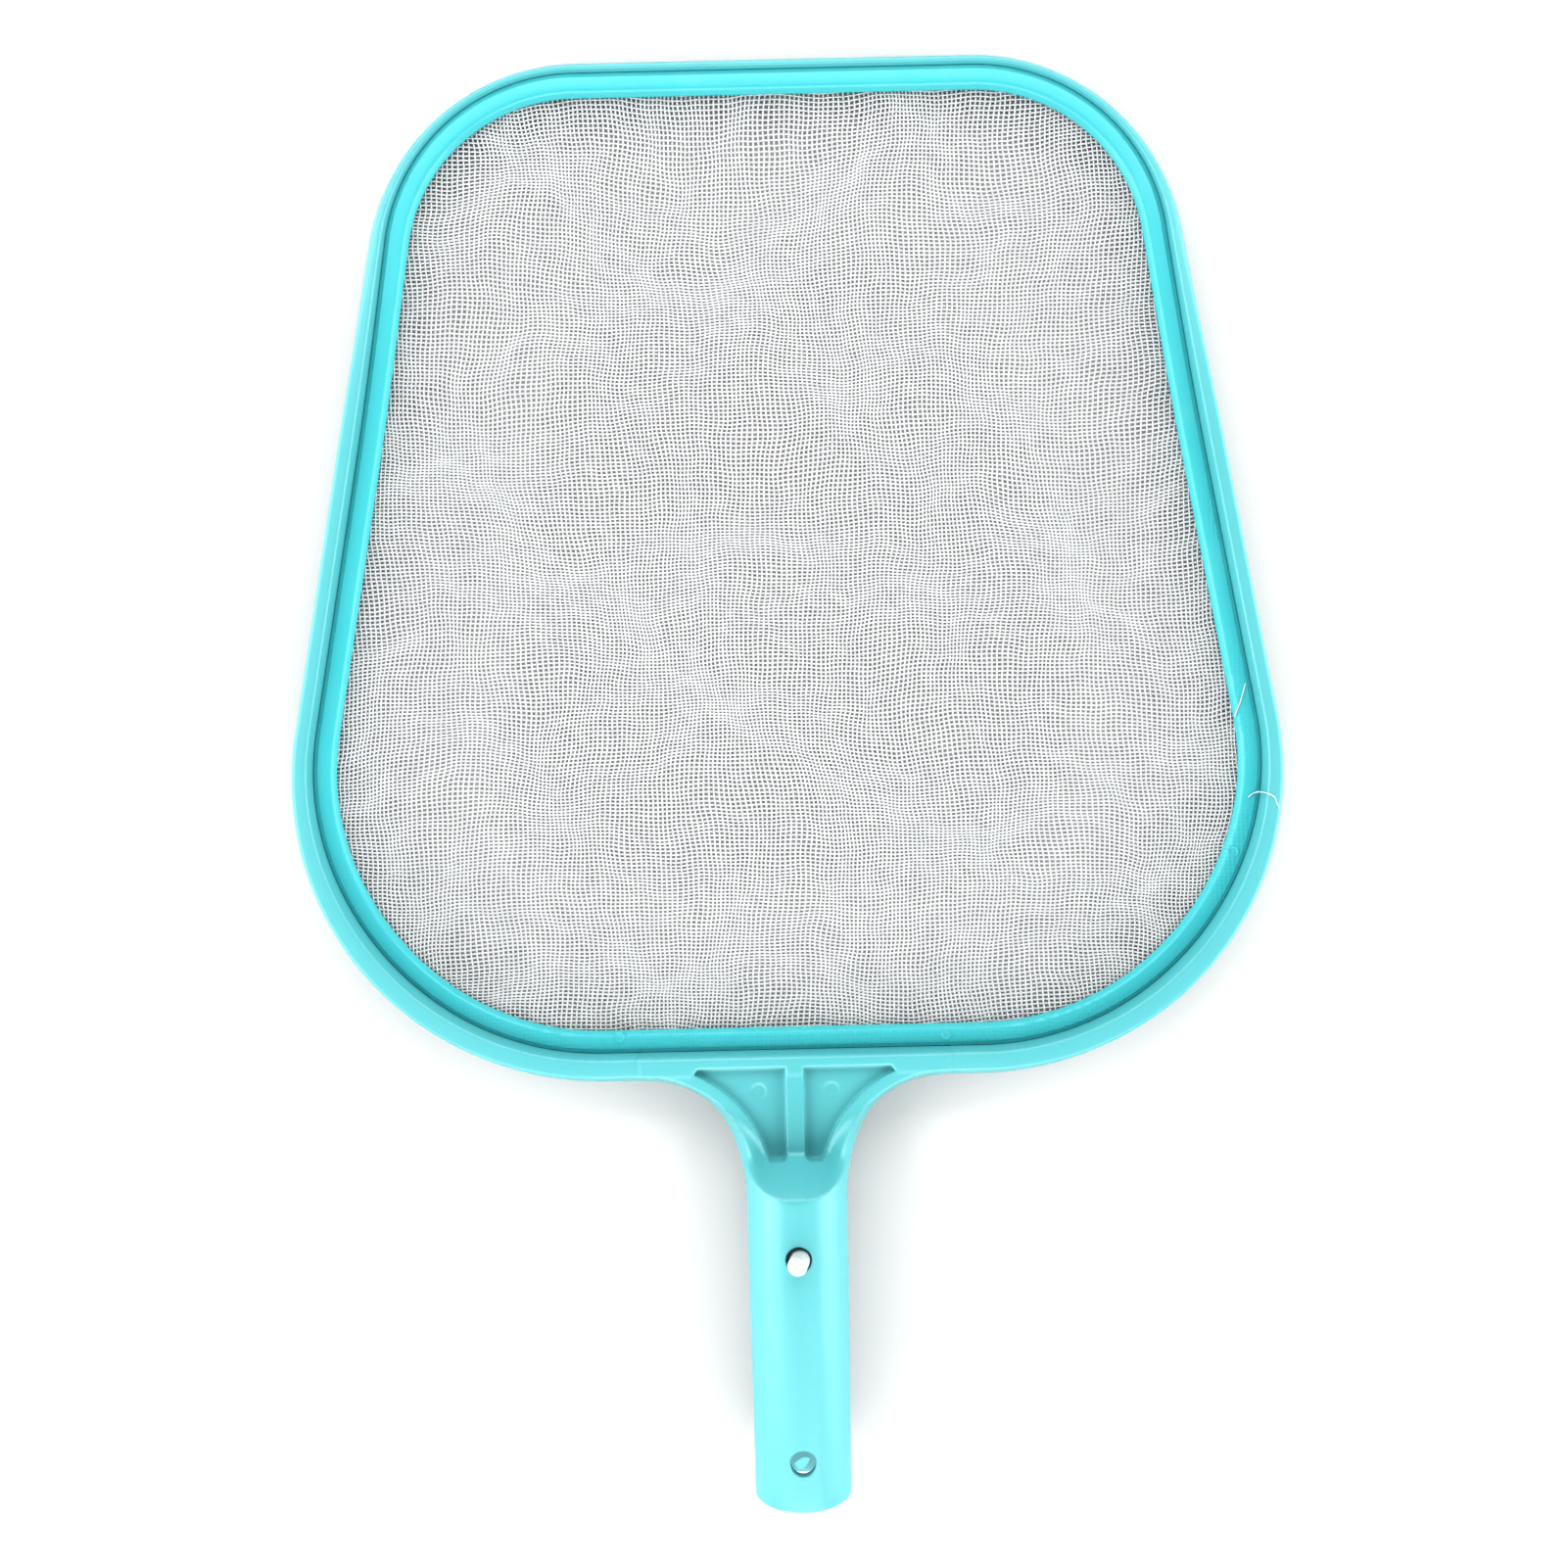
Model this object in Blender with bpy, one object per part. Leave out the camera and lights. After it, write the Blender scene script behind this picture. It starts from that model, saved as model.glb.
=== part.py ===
"""Leaf skimmer head: a moulded rim with a plug-in tube handle, a clamped net and a two-button clip.

Metres, +Z up. The net faces up, the scooping lip points along +Y and the handle along -Y. The origin is
the middle of the footprint, on the surface that the head lies on.
"""

import math

import bmesh
import bpy
from mathutils import Matrix, Vector

MM = 0.001

# Plan of the rim's outer edge: x = 0 is the middle, y = 0 the widest line
LIP_FLAT = 58.5 * MM          # half length of the straight lip
LIP_Y = 213.2 * MM            # lip, from the widest line
LIP_CORNER_RADIUS = 64 * MM
SIDE_SPLAY = math.radians(9)  # each side leans out towards the back
BACK_CENTRE_X = 55.8 * MM     # middle of each elliptic back corner
BACK_HALF_WIDTH = 91.9 * MM   # its half axis across
BACK_DEPTH = 91 * MM          # its half axis towards the handle

# Rim section: outer band, ledge for the net and the hollow underneath
BAND_LIP = 7.0 * MM           # outer band, from the edge to the groove
BAND_SIDE = 8.8 * MM
BAND_BACK = 10.4 * MM
TOP_LIP = 10.6 * MM           # height of the band's top face
TOP_SIDE = 13.2 * MM
TOP_BACK = 15.4 * MM
SLOPE_LIP = 4.2 * MM          # width of the sloped outer face
SLOPE_BACK = 3.2 * MM
WALL = 2.3 * MM
LEDGE_TOP = 6.0 * MM
LEDGE_THICKNESS = 2.0 * MM
LEDGE_WIDTH = 4.8 * MM

# Net ring and net
RING_WIDTH = 5.3 * MM
RING_GAP = 0.6 * MM           # the groove between the band and the ring
RING_BOTTOM = 7.2 * MM
RING_TOP = 9.8 * MM
RING_CHAMFER = 1.2 * MM
NET_THICKNESS = 0.6 * MM
NET_SAG = 3.2 * MM
NET_TUCK = 1.0 * MM           # how far the net's edge stops short of the band's inner wall
CLEARANCE = 0.3 * MM

# Handle tube and neck
TUBE_END = -205.8 * MM         # open end, from the widest line
TUBE_RADIUS_NECK = 14.4 * MM
TUBE_RADIUS_END = 13.8 * MM
TUBE_WALL = 2.6 * MM
TUBE_BOTTOM = 4.9 * MM         # underside of the tube at the neck, above the rim's underside
NECK_FILLET = 30 * MM          # plan radius between the rim and the tube
BORE_END = -127 * MM           # blind end of the bore
POCKET_RIB = 5.2 * MM          # width of the rib between the two pockets
POCKET_BACK = -85.5 * MM
POCKET_TAIL = -112 * MM
POCKET_LAND = 6.5 * MM         # solid land between a pocket and the neck's outer edge
POCKET_FLOOR = 13.0 * MM

# Cross holes and button clip
HOLE_DIAMETER = 7.2 * MM
UPPER_HOLE = -135.4 * MM
LOWER_HOLE = -192.2 * MM
BUTTON_DIAMETER = 5.6 * MM
BUTTON_PROUD = 4.8 * MM        # how far a button stands out of the tube
LEG_LENGTH = 45 * MM           # hinge to button
LEG_TIP = 5.5 * MM             # leg beyond the button
LEG_WIDTH = 7.6 * MM
LEG_THICKNESS = 1.6 * MM
LEG_CLEARANCE = 1.5 * MM       # leg to bore along the middle, at the button
BEND_RADIUS = 3.6 * MM         # middle of the strip in the bend
BUTTON_LEAN = math.radians(5)  # towards the bend, at rest

SIDES_ROUND = 32


def clear_scene():
    for obj in list(bpy.data.objects):
        bpy.data.objects.remove(obj, do_unlink=True)


def make_material(name, colour, roughness, metallic=0.0):
    mat = bpy.data.materials.new(name)
    mat.use_nodes = True
    shader = mat.node_tree.nodes["Principled BSDF"]
    shader.inputs["Base Color"].default_value = (*colour, 1.0)
    shader.inputs["Roughness"].default_value = roughness
    shader.inputs["Metallic"].default_value = metallic
    return mat


def add_mesh(name, bm, mat, sharp_degrees=35):
    bmesh.ops.recalc_face_normals(bm, faces=bm.faces)
    mesh = bpy.data.meshes.new(name)
    bm.to_mesh(mesh)
    bm.free()
    mesh.materials.append(mat)
    mesh.shade_smooth()
    mesh.set_sharp_from_angle(angle=math.radians(sharp_degrees))
    obj = bpy.data.objects.new(name, mesh)
    bpy.context.scene.collection.objects.link(obj)
    return obj


def add_cutter(name, bm):
    bmesh.ops.recalc_face_normals(bm, faces=bm.faces)
    mesh = bpy.data.meshes.new(name)
    bm.to_mesh(mesh)
    bm.free()
    obj = bpy.data.objects.new(name, mesh)
    bpy.context.scene.collection.objects.link(obj)
    obj.hide_render = True
    obj.display_type = "WIRE"
    return obj


def add_boolean(obj, other, operation):
    mod = obj.modifiers.new(other.name, "BOOLEAN")
    mod.operation = operation
    mod.object = other
    mod.solver = "EXACT"


def smooth_step(low, high, value):
    t = min(1.0, max(0.0, (value - low) / (high - low)))
    return t * t * (3 - 2 * t)


def mix(a, b, t):
    return a + (b - a) * t


def bridge_sections(bm, sections, closed):
    """Join equal-sized closed sections in order, into a ring or a capped body."""
    rings = [[bm.verts.new(p) for p in section] for section in sections]
    count = len(rings[0])
    pairs = list(zip(rings, rings[1:]))
    if closed:
        pairs.append((rings[-1], rings[0]))
    else:
        bm.faces.new(rings[0][::-1])
        bm.faces.new(rings[-1])
    for a, b in pairs:
        for i in range(count):
            j = (i + 1) % count
            bm.faces.new((a[i], a[j], b[j], b[i]))
    bm.normal_update()


# ---- plan of the rim ----

def back_start_angle():
    """Ellipse angle at which the back corner is parallel to the splayed side."""
    return -math.atan(math.tan(SIDE_SPLAY) * BACK_DEPTH / BACK_HALF_WIDTH)


def half_outline():
    """The rim's outer edge on the +X side, from the lip to the back, as points."""
    corner = Vector((LIP_FLAT, LIP_Y - LIP_CORNER_RADIUS))
    points = [Vector((LIP_FLAT * i / 4, LIP_Y)) for i in range(4)]
    turn = math.pi / 2 - SIDE_SPLAY
    for i in range(11):
        a = math.pi / 2 - turn * i / 10
        points.append(corner + LIP_CORNER_RADIUS * Vector((math.cos(a), math.sin(a))))
    start = back_start_angle()
    side_end = Vector((BACK_CENTRE_X + BACK_HALF_WIDTH * math.cos(start), -BACK_DEPTH * math.sin(start)))
    side_start = points[-1]
    for i in range(1, 7):
        points.append(side_start.lerp(side_end, i / 7))
    for i in range(15):
        a = mix(start, math.pi / 2, i / 14)
        points.append(Vector((BACK_CENTRE_X + BACK_HALF_WIDTH * math.cos(a), -BACK_DEPTH * math.sin(a))))
    for x in (34, 17):
        points.append(Vector((x * MM, -BACK_DEPTH)))
    return points


def full_outline():
    """Clockwise seen from above, starting at the middle of the lip."""
    right = half_outline()
    left = [Vector((-p.x, p.y)) for p in reversed(right[1:])]
    return right + [Vector((0, -BACK_DEPTH))] + left


def inward_normals(points):
    normals = []
    for i, p in enumerate(points):
        along = points[(i + 1) % len(points)] - points[i - 1]
        normals.append(Vector((along.y, -along.x)).normalized())
    return normals


def along_rim(y, lip, side, back):
    """A section size that changes from the lip, past the sides, to the back."""
    front_share = smooth_step(95 * MM, LIP_Y - 8 * MM, y)
    back_share = smooth_step(20 * MM, -70 * MM, y)
    return mix(mix(side, lip, front_share), back, back_share)


def band_width(y):
    return along_rim(y, BAND_LIP, BAND_SIDE, BAND_BACK)


def band_top(y):
    return along_rim(y, TOP_LIP, TOP_SIDE, TOP_BACK)


def sweep_rim(section):
    """Sections around the rim; section(y) gives points as inward distance and height."""
    outline = full_outline()
    sections = []
    for p, n in zip(outline, inward_normals(outline)):
        ring = []
        for inward, height in section(p.y):
            q = p + n * inward
            ring.append((q.x, q.y, height))
        sections.append(ring)
    return sections


def rim_section(y):
    band = band_width(y)
    top = band_top(y)
    slope = along_rim(y, SLOPE_LIP, SLOPE_BACK, SLOPE_BACK)
    roof = top - WALL
    channel_outer = WALL + slope * 0.7 * roof / top
    edge = 0.7 * MM
    wall_foot = band - 0.2 * MM
    return [
        (edge, 0),
        (0, 1.2 * MM),
        (0.3 * MM, 3 * MM),
        (slope, top - edge),
        (slope + edge, top),
        (band - 1.9 * MM, top),
        (band - 1.2 * MM, top - edge),
        (wall_foot, LEDGE_TOP),
        (band + LEDGE_WIDTH, LEDGE_TOP),
        (band + LEDGE_WIDTH, LEDGE_TOP - LEDGE_THICKNESS),
        (wall_foot, LEDGE_TOP - LEDGE_THICKNESS - 0.4 * MM),
        (wall_foot, 0),
        (band - WALL, 0),
        (band - WALL - 0.2 * MM, roof),
        (channel_outer, roof),
        (WALL, 0),
    ]


def ring_section(y):
    outer = band_width(y) + RING_GAP
    inner = outer + RING_WIDTH
    return [
        (outer, RING_BOTTOM),
        (outer, RING_TOP - 0.3 * MM),
        (outer + 0.3 * MM, RING_TOP),
        (inner - RING_CHAMFER, RING_TOP),
        (inner, RING_BOTTOM + 0.7 * MM),
        (inner, RING_BOTTOM),
    ]


# ---- neck and tube ----

def tube_axis_height():
    return TUBE_BOTTOM + TUBE_RADIUS_NECK


def neck_start():
    """Where the plan fillet has reached the tube's side."""
    return -BACK_DEPTH - NECK_FILLET


def tube_radius(y):
    return mix(TUBE_RADIUS_NECK, TUBE_RADIUS_END, smooth_step(neck_start(), TUBE_END, y))


def rounded_section(y, half_width, bottom, top, squareness):
    """A superellipse across the handle: squareness 2 is round, more is boxier."""
    middle = (bottom + top) / 2
    half_height = (top - bottom) / 2
    ring = []
    for i in range(SIDES_ROUND):
        a = 2 * math.pi * (i + 0.5) / SIDES_ROUND
        c, s = math.cos(a), math.sin(a)
        x = math.copysign(abs(c) ** (2 / squareness), c) * half_width
        z = math.copysign(abs(s) ** (2 / squareness), s) * half_height
        ring.append((x, y, middle + z))
    return ring


def handle_body():
    """One closed body from inside the back of the rim to the tube's open end."""
    axis = tube_axis_height()
    sections = []
    inside_rim = -BACK_DEPTH + BAND_BACK - 2.4 * MM
    fillet_x = TUBE_RADIUS_NECK + NECK_FILLET
    stations = [(inside_rim, fillet_x)]
    for i in range(13):
        a = math.radians(90 * i / 12)
        y = -BACK_DEPTH - NECK_FILLET * (1 - math.cos(a))
        stations.append((y, fillet_x - NECK_FILLET * math.sin(a)))
    for y, half_width in stations:
        share = smooth_step(-BACK_DEPTH - 3 * MM, neck_start() - 1 * MM, y)
        rise = smooth_step(-BACK_DEPTH - 17 * MM, neck_start() + 1 * MM, y)
        bottom = mix(0.4 * MM, axis - TUBE_RADIUS_NECK, share)
        top = mix(TOP_BACK - 0.02 * MM, axis + TUBE_RADIUS_NECK, rise)
        squareness = mix(6, 2, smooth_step(-BACK_DEPTH - 8 * MM, neck_start(), y))
        sections.append(rounded_section(y, half_width, bottom, top, squareness))
    for y in (neck_start() - 6 * MM, neck_start() - 30 * MM, TUBE_END):
        r = tube_radius(y)
        sections.append(rounded_section(y, r, axis - r, axis + r, 2))
    bm = bmesh.new()
    bridge_sections(bm, sections, closed=False)
    return bm


def bore_cutter():
    axis = tube_axis_height()
    sections = []
    for y in (TUBE_END - 5 * MM, BORE_END):
        r = tube_radius(y) - TUBE_WALL
        sections.append(rounded_section(y, r, axis - r, axis + r, 2))
    bm = bmesh.new()
    bridge_sections(bm, sections, closed=False)
    return bm


def cross_hole_cutter(y):
    bm = bmesh.new()
    bmesh.ops.create_cone(
        bm, cap_ends=True, segments=24, radius1=HOLE_DIAMETER / 2, radius2=HOLE_DIAMETER / 2,
        depth=60 * MM, matrix=Matrix.Translation((0, y, tube_axis_height())),
    )
    return bm


def pocket_outline(side):
    """Three-sided pocket beside the middle rib; its long edge follows the neck's outer curve."""
    centre = Vector((TUBE_RADIUS_NECK + NECK_FILLET, neck_start()))
    radius = NECK_FILLET + POCKET_LAND
    first = math.asin((POCKET_BACK - 1.5 * MM - centre.y) / radius)
    last = math.asin((POCKET_TAIL + 2.2 * MM - centre.y) / radius)
    rib = POCKET_RIB / 2
    points = [Vector((rib, POCKET_BACK))]
    points.append(Vector((centre.x - radius * math.cos(first) - 1.2 * MM, POCKET_BACK)))
    for i in range(9):
        a = mix(first, last, i / 8)
        points.append(centre + radius * Vector((-math.cos(a), math.sin(a))))
    tail = points[-1]
    points.append(Vector((tail.x - 1.2 * MM, POCKET_TAIL)))
    points.append(Vector((rib + 0.9 * MM, POCKET_TAIL)))
    points.append(Vector((rib, POCKET_TAIL + 1.2 * MM)))
    return [Vector((side * p.x, p.y)) for p in points]


def pocket_cutter(side):
    bm = bmesh.new()
    outline = pocket_outline(side)
    sections = [[(p.x, p.y, z) for p in outline] for z in (POCKET_FLOOR, tube_axis_height() * 2)]
    bridge_sections(bm, sections, closed=False)
    return bm


def build_frame(mat):
    bm = bmesh.new()
    bridge_sections(bm, sweep_rim(rim_section), closed=True)
    frame = add_mesh("frame_moulding", bm, mat)
    add_boolean(frame, add_cutter("handle_solid", handle_body()), "UNION")
    add_boolean(frame, add_cutter("bore", bore_cutter()), "DIFFERENCE")
    for name, y in (("upper_holes", UPPER_HOLE), ("lower_holes", LOWER_HOLE)):
        add_boolean(frame, add_cutter(name, cross_hole_cutter(y)), "DIFFERENCE")
    for name, side in (("pocket_left", -1), ("pocket_right", 1)):
        add_boolean(frame, add_cutter(name, pocket_cutter(side)), "DIFFERENCE")
    return frame


# ---- net and its ring ----

def build_ring(mat):
    bm = bmesh.new()
    bridge_sections(bm, sweep_rim(ring_section), closed=True)
    return add_mesh("net_ring", bm, mat)


def net_rings(z_shift):
    """Rings of net points from the clamped edge to the middle, at one face of the net."""
    outline = full_outline()
    normals = inward_normals(outline)
    clamped = NET_TUCK
    free = LEDGE_WIDTH + 0.6 * MM
    rings = []
    for inward in (clamped, free):
        ring = []
        for p, n in zip(outline, normals):
            q = p + n * (band_width(p.y) + inward)
            ring.append(Vector((q.x, q.y, z_shift)))
        rings.append(ring)
    centre = Vector((0, LIP_Y / 3, z_shift))
    for share in (0.85, 0.6, 0.3):
        drop = NET_SAG * (1 - share * share)
        rings.append([centre + (p - centre) * share - Vector((0, 0, drop)) for p in rings[1]])
    return rings, centre - Vector((0, 0, NET_SAG))


def build_net(mat):
    bm = bmesh.new()
    faces = []
    for z in (LEDGE_TOP + CLEARANCE, LEDGE_TOP + CLEARANCE + NET_THICKNESS):
        rings, middle = net_rings(z)
        verts = [[bm.verts.new(p) for p in ring] for ring in rings]
        hub = bm.verts.new(middle)
        count = len(verts[0])
        for a, b in zip(verts, verts[1:]):
            for i in range(count):
                j = (i + 1) % count
                bm.faces.new((a[i], a[j], b[j], b[i]))
        for i in range(count):
            bm.faces.new((verts[-1][i], verts[-1][(i + 1) % count], hub))
        faces.append(verts[0])
    low, high = faces
    for i in range(len(low)):
        j = (i + 1) % len(low)
        bm.faces.new((low[i], low[j], high[j], high[i]))
    return add_mesh("net", bm, mat)


# ---- button clip ----

def button_base_height():
    """Height of a leg's middle line above the tube's axis, at the button and at rest."""
    bore = tube_radius(UPPER_HOLE) - TUBE_WALL
    return bore - LEG_CLEARANCE - LEG_THICKNESS / 2


def leg_angle():
    return math.asin((button_base_height() - BEND_RADIUS) / LEG_LENGTH)


def hinge_y():
    return UPPER_HOLE - LEG_LENGTH * math.cos(leg_angle())


def leg_body():
    """A leg along +Y from its hinge at the origin, with its button pointing up."""
    bm = bmesh.new()
    half = LEG_THICKNESS / 2
    start = CLEARANCE
    end = LEG_LENGTH + LEG_TIP
    round_radius = LEG_WIDTH / 2
    outline = [Vector((-round_radius, start)), Vector((round_radius, start))]
    for i in range(9):
        a = math.pi * i / 8
        outline.append(Vector((round_radius * math.cos(a), end - round_radius + round_radius * math.sin(a))))
    sections = [[(p.x, p.y, z) for p in outline] for z in (-half, half)]
    bridge_sections(bm, sections, closed=False)
    return bm


def button_body():
    """A domed button on its leg, made upright and then leaned towards the bend."""
    radius = BUTTON_DIAMETER / 2
    tip = tube_radius(UPPER_HOLE) + BUTTON_PROUD - button_base_height()
    dome = 1.9 * MM
    profile = [(radius, 0), (radius, tip - dome)]
    for i in range(1, 4):
        a = math.radians(90 * i / 4)
        profile.append((radius * math.cos(a), tip - dome + dome * math.sin(a)))
    bm = bmesh.new()
    sections = []
    for r, z in profile:
        sections.append([(r * math.cos(a), r * math.sin(a), z) for a in turns(20)])
    bridge_sections(bm, sections, closed=False)
    lean = Matrix.Rotation(BUTTON_LEAN - leg_angle(), 4, "X")
    bmesh.ops.transform(bm, matrix=Matrix.Translation((0, LEG_LENGTH, 0)) @ lean, verts=bm.verts)
    return bm


def turns(count):
    return [2 * math.pi * i / count for i in range(count)]


def build_leg(name, up, mat):
    """up is 1 for the leg on the net's side of the tube and -1 for the one below."""
    leg = add_mesh(name, leg_body(), mat)
    button = add_cutter(name + "_button", button_body())
    add_boolean(leg, button, "UNION")
    pivot = bpy.data.objects.new(name + "_hinge", None)
    bpy.context.scene.collection.objects.link(pivot)
    pivot.location = (0, hinge_y(), tube_axis_height() + up * BEND_RADIUS)
    pivot.rotation_euler = (leg_angle(), 0, 0)
    if up < 0:
        pivot.rotation_euler = (leg_angle(), math.pi, 0)
    leg.parent = pivot
    button.parent = pivot
    return leg


def build_bend(mat):
    """The half turn that joins the two legs, open towards the rim."""
    bm = bmesh.new()
    half = LEG_THICKNESS / 2
    sections = []
    for i in range(13):
        a = math.pi / 2 + math.pi * i / 12
        out = Vector((0, math.cos(a), math.sin(a)))
        section = []
        for x, r in ((-1, -half), (1, -half), (1, half), (-1, half)):
            p = out * (BEND_RADIUS + r)
            section.append((x * LEG_WIDTH / 2, p.y, p.z))
        sections.append(section)
    bridge_sections(bm, sections, closed=False)
    bend = add_mesh("clip_bend", bm, mat)
    bend.location = (0, hinge_y(), tube_axis_height())
    return bend


def centre_footprint(objects):
    """Move everything so that the origin is the middle of the footprint."""
    shift = -(LIP_Y + TUBE_END) / 2
    for obj in objects:
        if obj.parent is None:
            obj.location.y += shift


def main():
    clear_scene()
    cyan = make_material("cyan_moulding", (0.14, 0.80, 0.84), 0.35)
    white_net = make_material("white_net", (0.86, 0.86, 0.87), 0.7)
    white_clip = make_material("white_clip", (0.88, 0.88, 0.87), 0.4)
    build_frame(cyan)
    build_ring(cyan)
    build_net(white_net)
    build_bend(white_clip)
    build_leg("clip_leg_top", 1, white_clip)
    build_leg("clip_leg_bottom", -1, white_clip)
    centre_footprint(bpy.data.objects)
    bpy.context.view_layer.update()


main()
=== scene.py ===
import math

import bmesh
import bpy
import numpy as np
from mathutils import Matrix, Vector
from mathutils.kdtree import KDTree


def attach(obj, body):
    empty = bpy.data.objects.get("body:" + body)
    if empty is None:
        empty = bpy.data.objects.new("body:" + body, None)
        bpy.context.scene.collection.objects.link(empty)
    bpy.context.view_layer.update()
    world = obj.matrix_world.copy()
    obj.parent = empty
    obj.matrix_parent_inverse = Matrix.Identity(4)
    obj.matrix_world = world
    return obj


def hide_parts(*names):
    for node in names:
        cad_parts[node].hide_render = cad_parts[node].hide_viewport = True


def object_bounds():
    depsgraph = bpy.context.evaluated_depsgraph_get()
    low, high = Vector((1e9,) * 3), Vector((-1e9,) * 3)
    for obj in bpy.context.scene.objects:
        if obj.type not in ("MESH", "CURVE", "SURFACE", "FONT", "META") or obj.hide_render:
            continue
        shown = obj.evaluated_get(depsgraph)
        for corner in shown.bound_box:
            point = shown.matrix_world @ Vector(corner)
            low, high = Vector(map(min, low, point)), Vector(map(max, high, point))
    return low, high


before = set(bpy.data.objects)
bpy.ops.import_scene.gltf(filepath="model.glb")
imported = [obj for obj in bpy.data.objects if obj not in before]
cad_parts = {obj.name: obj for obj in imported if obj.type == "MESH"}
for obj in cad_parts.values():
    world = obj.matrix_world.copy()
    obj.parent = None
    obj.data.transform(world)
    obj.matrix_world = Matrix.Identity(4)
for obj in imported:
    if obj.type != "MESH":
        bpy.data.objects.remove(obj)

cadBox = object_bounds()
mm = 0.001
scene = bpy.context.scene


def smoothStep(low, high, value):
    t = np.clip((value - low) / (high - low), 0, 1)
    return t * t * (3 - 2 * t)


def mix(a, b, t):
    return a + (b - a) * t


def addObject(name, mesh, finish, smooth=True):
    obj = bpy.data.objects.new(name, mesh)
    scene.collection.objects.link(obj)
    mesh.materials.clear()
    mesh.materials.append(finish)
    if smooth:
        mesh.shade_smooth()
    else:
        mesh.shade_flat()
    return obj


def meshFrom(name, verts, faces):
    mesh = bpy.data.meshes.new(name)
    mesh.from_pydata([tuple(v) for v in verts], [], [tuple(f) for f in faces])
    mesh.update()
    return mesh


def gridFaces(rows, columns, closedRows, closedColumns):
    # quads between neighbouring rows of points, each row with the same number of columns
    r = np.arange(rows if closedRows else rows - 1)
    c = np.arange(columns if closedColumns else columns - 1)
    rr, cc = np.meshgrid(r, c, indexing="ij")
    r2 = (rr + 1) % rows
    c2 = (cc + 1) % columns
    quads = np.stack((rr * columns + cc, rr * columns + c2, r2 * columns + c2, r2 * columns + cc), -1)
    return quads.reshape(-1, 4)


def cappedFaces(rows):
    # faces of a closed section swept through rows of points, with both ends filled
    count = rows.shape[1]
    faces = list(gridFaces(len(rows), count, False, True))
    faces.append(np.arange(count)[::-1])
    faces.append(np.arange(count) + (len(rows) - 1) * count)
    return faces


def faceOutwards(mesh):
    bm = bmesh.new()
    bm.from_mesh(mesh)
    bmesh.ops.recalc_face_normals(bm, faces=bm.faces)
    bm.to_mesh(mesh)
    bm.free()
    mesh.update()


class Value:
    # a node's output that takes part in sums
    def __init__(self, graph, socket):
        self.graph = graph
        self.socket = socket

    def __add__(self, other):
        return self.graph.maths("ADD", self, other)

    def __sub__(self, other):
        return self.graph.maths("SUBTRACT", self, other)

    def __mul__(self, other):
        return self.graph.maths("MULTIPLY", self, other)

    def __truediv__(self, other):
        return self.graph.maths("DIVIDE", self, other)

    def __rsub__(self, other):
        return self.graph.maths("SUBTRACT", other, self)

    def __rtruediv__(self, other):
        return self.graph.maths("DIVIDE", other, self)

    def __neg__(self):
        return self.graph.maths("MULTIPLY", self, -1.0)

    __radd__ = __add__
    __rmul__ = __mul__


class Graph:
    # a node tree that takes any node in one call: its type, its settings, then its sockets
    def __init__(self, tree):
        self.tree = tree

    def add(self, kind, settings=None, sockets=None, output=0):
        node = self.tree.nodes.new(kind)
        for key, value in (settings or {}).items():
            setattr(node, key, value)
        for key, value in (sockets or {}).items():
            self.plug(node.inputs[key], value)
        return Value(self, node.outputs[output])

    def plug(self, socket, value):
        if isinstance(value, Value):
            self.tree.links.new(value.socket, socket)
        else:
            socket.default_value = value

    def maths(self, operation, first, second=0.0):
        return self.add("ShaderNodeMath", {"operation": operation}, {0: first, 1: second})

    def vectorMaths(self, operation, first, second):
        return self.add("ShaderNodeVectorMath", {"operation": operation}, {0: first, 1: second})

    def part(self, vector, axis):
        return self.add("ShaderNodeSeparateXYZ", None, {0: vector}, axis)


class Finish(Graph):
    def __init__(self, name, **constants):
        self.material = bpy.data.materials.new(name)
        self.material.use_nodes = True
        super().__init__(self.material.node_tree)
        self.shader = self.tree.nodes["Principled BSDF"]
        self.feed(**constants)

    def place(self):
        coordinates = self.add("ShaderNodeTexCoord", output="Object")
        return self.add("ShaderNodeMapping", None, {"Vector": coordinates})

    def noise(self, size, detail=3.0):
        # soft noise whose features are about size metres across
        return self.add("ShaderNodeTexNoise", None,
                        {"Vector": self.place(), "Scale": 1 / size, "Detail": detail})

    def ramp(self, value, low, high):
        return self.add("ShaderNodeMapRange", {"interpolation_type": "SMOOTHSTEP"},
                        {"Value": value, "From Min": low, "From Max": high})

    def blendColours(self, share, first, second):
        return self.add("ShaderNodeMix", {"data_type": "RGBA"}, {0: share, 6: first, 7: second}, 2)

    def bump(self, height, distance, **normal):
        return self.add("ShaderNodeBump", None,
                        {"Height": height, "Distance": distance, "Strength": 1.0, **normal})

    def feed(self, **sockets):
        for socketName, value in sockets.items():
            self.plug(self.shader.inputs[socketName.replace("_", " ")], value)
        return self.material


mouldingLook = {
    "colour": (0.150, 0.485, 0.508, 1),
    "deepColour": (0.138, 0.475, 0.498, 1),
    "roughness": 0.37,
    "skin": 0.002 * mm,        # height of the fine moulded skin
}


def mouldedFinish():
    look = mouldingLook
    finish = Finish("cyanMoulding", IOR=1.49, Specular_IOR_Level=1.0)
    clouds = finish.ramp(finish.noise(60 * mm, 2.0), 0.35, 0.65)
    skin = finish.noise(2.2 * mm, 3.0)
    return finish.feed(
        Base_Color=finish.blendColours(clouds, look["colour"], look["deepColour"]),
        Roughness=skin * 0.04 + clouds * 0.03 + (look["roughness"] - 0.04),
        Normal=finish.bump(skin, look["skin"]),
    )


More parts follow.
